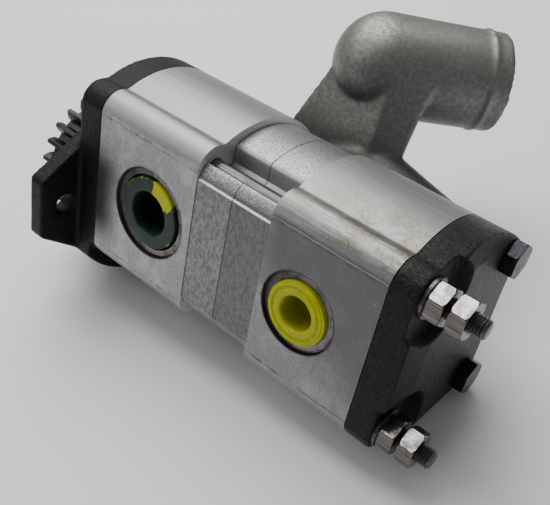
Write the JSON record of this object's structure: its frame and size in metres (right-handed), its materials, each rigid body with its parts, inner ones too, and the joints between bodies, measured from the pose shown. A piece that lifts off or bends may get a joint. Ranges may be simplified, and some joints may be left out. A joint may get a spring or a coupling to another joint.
{
  "type": "hydraulic gear pump",
  "caption": "Tandem hydraulic gear pump: flanged iron front, two aluminium gear sections joined by plates, iron rear cover, spur input gear and cast suction elbow.",
  "frame": {"origin": "centre of the drive shaft on the flange's mounting face", "axes": "+X along the shafts towards the rear cover, +Z from the drive shaft to the driven gears, -Y is the outlet side and +Y the suction side"},
  "size_m": [0.2875, 0.2364, 0.1737],
  "materials": {
    "flange_iron": "oiled dark casting",
    "extruded_aluminium": "satin drawn extrusion",
    "plate_casting": "sparkling die-cast skin",
    "cover_iron": "oiled dark casting",
    "bearing_alloy": "machined",
    "bush_bronze": "bearing bronze",
    "seal_rubber": "smooth black rubber",
    "spring_steel": "phosphated spring steel",
    "ground_steel": "ground and oiled",
    "gear_steel": "hardened, oiled",
    "stud_steel": "dark oiled steel",
    "nut_zinc": "zinc plated, scratched",
    "bolt_black": "black oxide",
    "plug_green": "dark green moulded",
    "plug_yellow": "bright yellow moulded",
    "manifold_aluminium": "grey sand-cast skin"
  },
  "bodies": {
    "housing": {"front_flange": "flange_iron", "front_body": "extruded_aluminium", "front_end_plate": "plate_casting", "rear_front_plate": "plate_casting", "plate_joint_seal": "seal_rubber", "rear_body": "extruded_aluminium", "rear_cover": "cover_iron", "front_fore_bearing_block": "bearing_alloy", "front_aft_bearing_block": "bearing_alloy", "front_shaft_bushes": "bush_bronze", "front_pressure_seals": "seal_rubber", "front_body_seals": "seal_rubber", "rear_fore_bearing_block": "bearing_alloy", "rear_aft_bearing_block": "bearing_alloy", "rear_shaft_bushes": "bush_bronze", "rear_pressure_seals": "seal_rubber", "rear_body_seals": "seal_rubber", "shaft_seal": "seal_rubber", "seal_circlip": "spring_steel", "section_shaft_seals": "seal_rubber", "dowel_pins": "ground_steel", "stud_bolts": "stud_steel", "inner_stud_nuts": "nut_zinc", "outer_stud_nuts": "nut_zinc", "stud_washers": "stud_steel", "hex_head_bolts": "bolt_black", "front_port_plug": "plug_green", "rear_port_plug": "plug_yellow", "suction_manifold": "manifold_aluminium", "manifold_seals": "seal_rubber", "manifold_screws": "bolt_black"},
    "drive_line": {"front_drive_gear": "ground_steel", "rear_drive_gear": "ground_steel", "coupling_sleeve": "ground_steel", "input_gear": "gear_steel", "input_key": "ground_steel", "input_washer": "stud_steel", "input_nut": "stud_steel"},
    "front_driven": {"front_driven_gear": "ground_steel"},
    "rear_driven": {"rear_driven_gear": "ground_steel"}
  },
  "joints": [
    {"name": "drive_spin", "type": "hinge", "parent": "housing", "child": "drive_line", "pos_m": [0, 0, 0], "axis": [1, 0, 0], "continuous": true},
    {"name": "front_driven_spin", "type": "hinge", "parent": "housing", "child": "front_driven", "pos_m": [0.063, 0, 0.04], "axis": [1, 0, 0], "continuous": true},
    {"name": "rear_driven_spin", "type": "hinge", "parent": "housing", "child": "rear_driven", "pos_m": [0.1705, 0, 0.04], "axis": [1, 0, 0], "continuous": true}
  ],
  "couplings": [
    {"joint": "front_driven_spin", "follows": "drive_spin", "ratio": -1},
    {"joint": "rear_driven_spin", "follows": "drive_spin", "ratio": -1}
  ]
}
